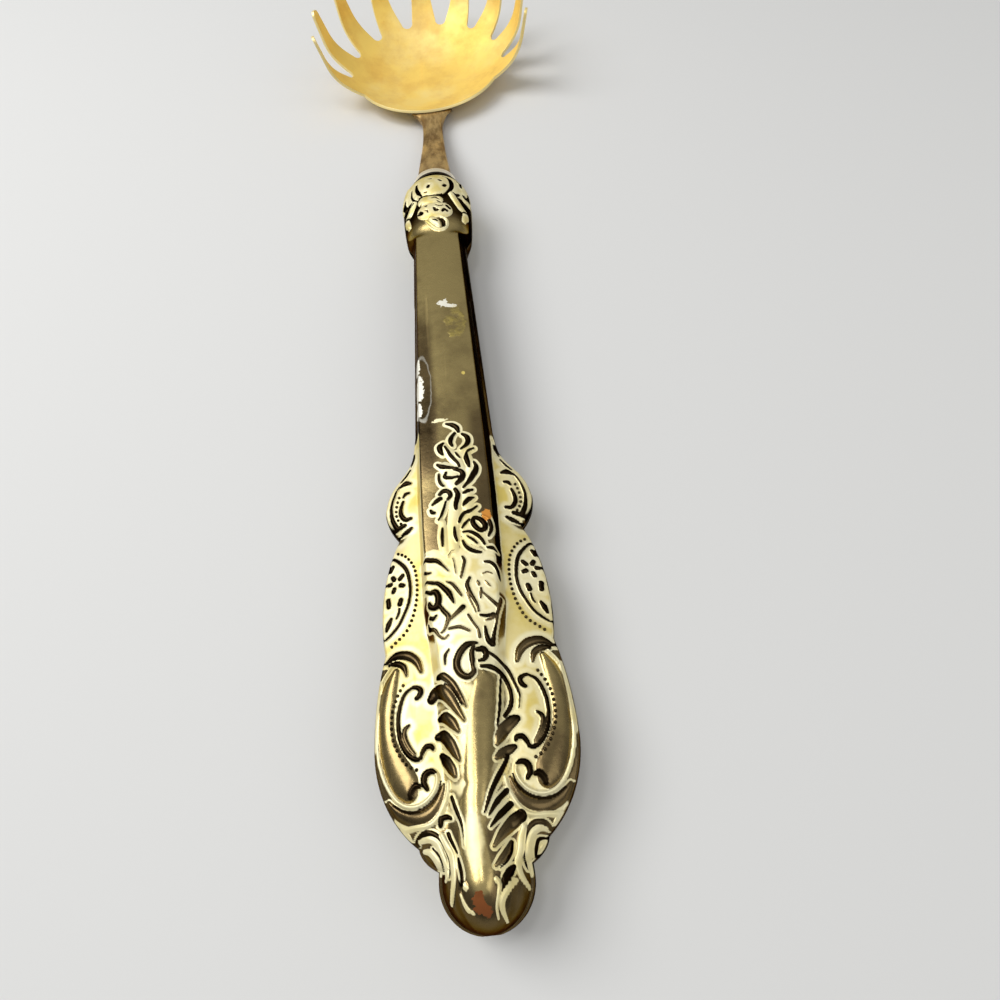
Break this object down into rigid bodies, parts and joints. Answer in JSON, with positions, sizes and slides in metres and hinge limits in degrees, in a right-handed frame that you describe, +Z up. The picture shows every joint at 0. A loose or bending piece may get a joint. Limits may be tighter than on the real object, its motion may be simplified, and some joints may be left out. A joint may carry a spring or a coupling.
{
  "type": "pasta server",
  "caption": "Serving utensil with a round dished bowl, upturned tines along its front and sides, a tapered flat neck and a hollow scroll-ornamented handle with a bulging collar.",
  "frame": {"origin": "on the table, under the middle of the server's bounding box, with the bowl's flat and the handle's back resting on the table", "axes": "+Y from the handle's end to the tines, +X to the right, +Z up out of the bowl"},
  "size_m": [0.062, 0.2604, 0.0223],
  "materials": {
    "gold_washed_sheet": "polished gold wash, worn and stained in patches",
    "worn_neck": "mottled brown where the plating has worn",
    "tarnished_plate": "tarnished polished plate with pale residue in the recesses",
    "filling": "cast resin, out of sight"
  },
  "bodies": {
    "root": {"bowl": "gold_washed_sheet", "shank": "worn_neck", "front_shell": "tarnished_plate", "back_shell": "tarnished_plate", "mouth_collar": "tarnished_plate", "core_fill": "filling"}
  },
  "joints": []
}
